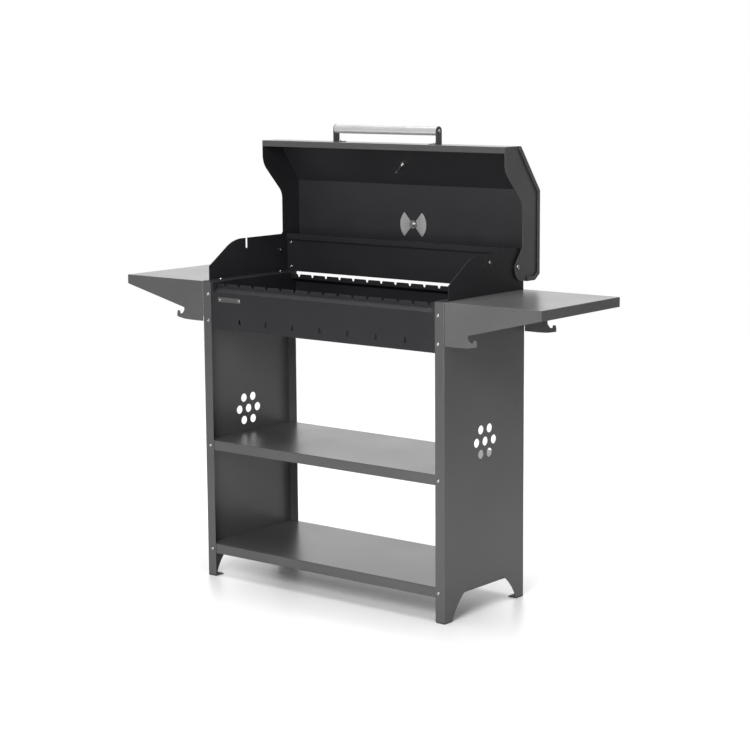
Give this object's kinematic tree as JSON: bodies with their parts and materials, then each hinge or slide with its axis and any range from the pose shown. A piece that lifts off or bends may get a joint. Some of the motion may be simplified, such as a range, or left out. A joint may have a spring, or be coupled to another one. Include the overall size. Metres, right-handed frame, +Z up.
{
  "type": "charcoal skewer grill",
  "caption": "Free-standing sheet-steel charcoal grill with a notched firebox, hinged lid with handle, thermometer and damper, side tables and two shelves.",
  "frame": {"origin": "on the floor at the centre of the stand's four feet", "axes": "+X along the grill towards its right-hand table seen from the front, -Y to the front where the cook stands, +Z up"},
  "size_m": [1.45, 0.4356, 1.283],
  "materials": {
    "graphite_paint": "satin graphite-grey powder coat",
    "black_heat_paint": "matt black heat-resistant paint",
    "brushed_stainless": "fine brushed, satin",
    "bright_fasteners": "bright zinc-plated",
    "dark_plate": "dark satin, blank",
    "foot_plastic": "moulded, matt",
    "plug_plastic": "moulded, matt",
    "dial_white": "matt white enamel",
    "needle_red": "gloss red",
    "dial_glass": "clear"
  },
  "bodies": {
    "stand": {"left_side_panel": "graphite_paint", "right_side_panel": "graphite_paint", "middle_shelf": "graphite_paint", "lower_shelf": "graphite_paint", "left_table": "graphite_paint", "right_table": "graphite_paint", "left_table_bracket": "graphite_paint", "right_table_bracket": "graphite_paint", "firebox_front_wall": "black_heat_paint", "firebox_rear_wall": "black_heat_paint", "firebox_left_end": "black_heat_paint", "firebox_right_end": "black_heat_paint", "firebox_floor": "black_heat_paint", "left_cheek": "black_heat_paint", "right_cheek": "black_heat_paint", "windscreen": "black_heat_paint", "firebox_screws": "bright_fasteners", "firebox_nuts": "bright_fasteners", "shelf_screws": "bright_fasteners", "shelf_nuts": "bright_fasteners", "cheek_screws": "bright_fasteners", "cheek_nuts": "bright_fasteners", "windscreen_screws": "bright_fasteners", "windscreen_nuts": "bright_fasteners", "table_screws": "bright_fasteners", "table_nuts": "bright_fasteners", "hinge_screws": "bright_fasteners", "hinge_nuts": "bright_fasteners", "hinge_spacers": "bright_fasteners", "name_plate_rivets": "bright_fasteners", "motor_stud": "bright_fasteners", "motor_stud_nut": "bright_fasteners", "name_plate": "dark_plate", "foot_pads": "foot_plastic"},
    "lid": {"lid_front_sheet": "graphite_paint", "lid_rear_sheet": "graphite_paint", "left_lid_plate": "graphite_paint", "right_lid_plate": "graphite_paint", "handle_tube": "brushed_stainless", "handle_plugs": "plug_plastic", "left_handle_bracket": "graphite_paint", "right_handle_bracket": "graphite_paint", "bracket_screws": "bright_fasteners", "bracket_nuts": "bright_fasteners", "handle_screws": "bright_fasteners", "thermometer_case": "brushed_stainless", "thermometer_dial": "dial_white", "thermometer_glass": "dial_glass", "thermometer_bezel": "brushed_stainless", "thermometer_stem": "brushed_stainless", "thermometer_nut": "bright_fasteners", "damper_screw": "bright_fasteners", "damper_nut": "bright_fasteners", "damper_washer": "bright_fasteners"},
    "damper": {"damper_disc": "brushed_stainless"},
    "needle": {"thermometer_needle": "needle_red"}
  },
  "joints": [
    {"name": "lid_hinge", "type": "hinge", "parent": "stand", "child": "lid", "pos_m": [0, 0.143, 0.913], "axis": [1, 0, 0], "range_deg": [0, 90]},
    {"name": "damper_turn", "type": "hinge", "parent": "lid", "child": "damper", "pos_m": [0, 0.2403, 1.00025], "axis": [0, 1, 0], "range_deg": [0, 90]},
    {"name": "thermometer_needle_turn", "type": "hinge", "parent": "lid", "child": "needle", "pos_m": [0, 0.195, 1.17325], "axis": [0, -0.8036, -0.5952], "range_deg": [0, 270], "stiffness_Nm_per_rad": 0.002}
  ]
}
